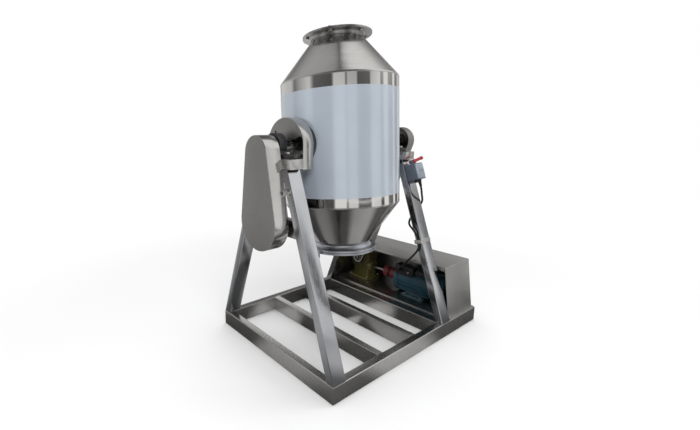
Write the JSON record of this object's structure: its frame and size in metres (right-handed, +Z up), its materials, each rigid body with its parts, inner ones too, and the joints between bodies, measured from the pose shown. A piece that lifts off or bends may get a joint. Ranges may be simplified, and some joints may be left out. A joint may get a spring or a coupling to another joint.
{
  "type": "drum mixer",
  "caption": "Tilting drum mixer for powders: stainless drum with conical ends on two trestles, worm gear motor and chain drive.",
  "frame": {"origin": "centre of the footprint, on the floor", "axes": "+Z up, +X along the drum's trunnion axis from the countershaft guard towards the motor cover, -Y the side with the switch"},
  "size_m": [1.31, 0.87, 1.6331],
  "materials": {
    "rails": "satin brushed stainless tube",
    "legs": "polished stainless tube",
    "guards": "matt stainless sheet",
    "drum": "polished stainless sheet",
    "film": "thin pale blue protective film",
    "flange": "turned stainless",
    "shaft": "ground steel",
    "bearing": "dark painted casting",
    "chain": "oiled steel",
    "fastener": "bright stainless",
    "motor": "teal enamel",
    "black": "black moulding",
    "gearbox": "olive enamel on a casting",
    "coupling": "dark red enamel",
    "switch": "grey enamel",
    "cover": "pale grey enamel",
    "lever": "red moulding",
    "rubber": "black",
    "gasket": "white food grade rubber"
  },
  "bodies": {
    "frame": {"front_rail": "rails", "rear_rail": "rails", "left_rail": "rails", "right_rail": "rails", "cross_bars": "rails", "left_front_leg": "legs", "left_rear_leg": "legs", "right_front_leg": "legs", "right_rear_leg": "legs", "bearing_seats": "legs", "tie_bar": "rails", "bearing_housings": "bearing", "bearing_inserts": "shaft", "trunnion_hood": "guards", "left_chain_guard": "guards", "countershaft_bearing": "bearing", "left_chain": "chain", "right_chain_guard": "guards", "drive_chain": "chain", "motor_plate": "rails", "motor_body": "motor", "fan_cowl": "motor", "terminal_box": "black", "gearbox_case": "gearbox", "gearbox_caps": "gearbox", "motor_cover": "guards", "switch_box": "switch", "switch_cover": "cover", "motor_lead": "rubber", "cable_glands": "black", "lead_tie": "fastener", "frame_bolts": "fastener"},
    "drum": {"drum_shell": "drum", "drum_film": "film", "upper_cone": "drum", "lower_cone": "drum", "upper_flange": "flange", "top_lid": "flange", "lid_bolts": "fastener", "lower_flange": "flange", "door_gasket": "gasket", "door_hinge_pin": "shaft", "left_trunnion": "shaft", "right_trunnion": "shaft", "trunnion_bosses": "drum", "trunnion_bolts": "fastener", "lock_collars": "shaft", "driven_sprocket": "chain", "end_sprocket": "chain"},
    "countershaft_group": {"countershaft": "shaft", "counter_sprocket": "chain"},
    "output_group": {"output_shaft": "shaft", "drive_sprocket": "chain"},
    "motor_rotor": {"motor_shaft": "shaft", "coupling_hubs": "coupling", "coupling_spider": "rubber", "worm_shaft": "shaft"},
    "lever": {"switch_lever": "lever"},
    "door": {"discharge_door": "flange"},
    "knob": {"clamp_knob": "black"}
  },
  "joints": [
    {"name": "drum_spin", "type": "hinge", "parent": "frame", "child": "drum", "pos_m": [-0.105, 0, 1.0722], "axis": [1, 0, 0], "continuous": true},
    {"name": "countershaft_spin", "type": "hinge", "parent": "frame", "child": "countershaft_group", "pos_m": [-0.617, -0.012, 0.72], "axis": [1, 0, 0], "continuous": true},
    {"name": "output_spin", "type": "hinge", "parent": "frame", "child": "output_group", "pos_m": [0.435, 0.283, 0.251], "axis": [1, 0, 0], "continuous": true},
    {"name": "motor_spin", "type": "hinge", "parent": "frame", "child": "motor_rotor", "pos_m": [0.522, 0.05, 0.181], "axis": [0, 1, 0], "continuous": true},
    {"name": "lever_turn", "type": "hinge", "parent": "frame", "child": "lever", "pos_m": [0.3, -0.18155, 0.96233], "axis": [0, -0.9444, 0.3287], "range_deg": [0, 160]},
    {"name": "door_hinge", "type": "hinge", "parent": "drum", "child": "door", "pos_m": [0.099, -0.03879, 0.51755], "axis": [0, -0.9976, 0.0698], "range_deg": [0, 100]},
    {"name": "knob_turn", "type": "hinge", "parent": "door", "child": "knob", "pos_m": [-0.305, -0.03955, 0.50658], "axis": [0, 0.0698, 0.9976], "continuous": true}
  ],
  "couplings": [
    {"joint": "countershaft_spin", "follows": "drum_spin", "ratio": 0.31482},
    {"joint": "output_spin", "follows": "drum_spin", "ratio": 1.6923},
    {"joint": "motor_spin", "follows": "drum_spin", "ratio": 67.692}
  ]
}
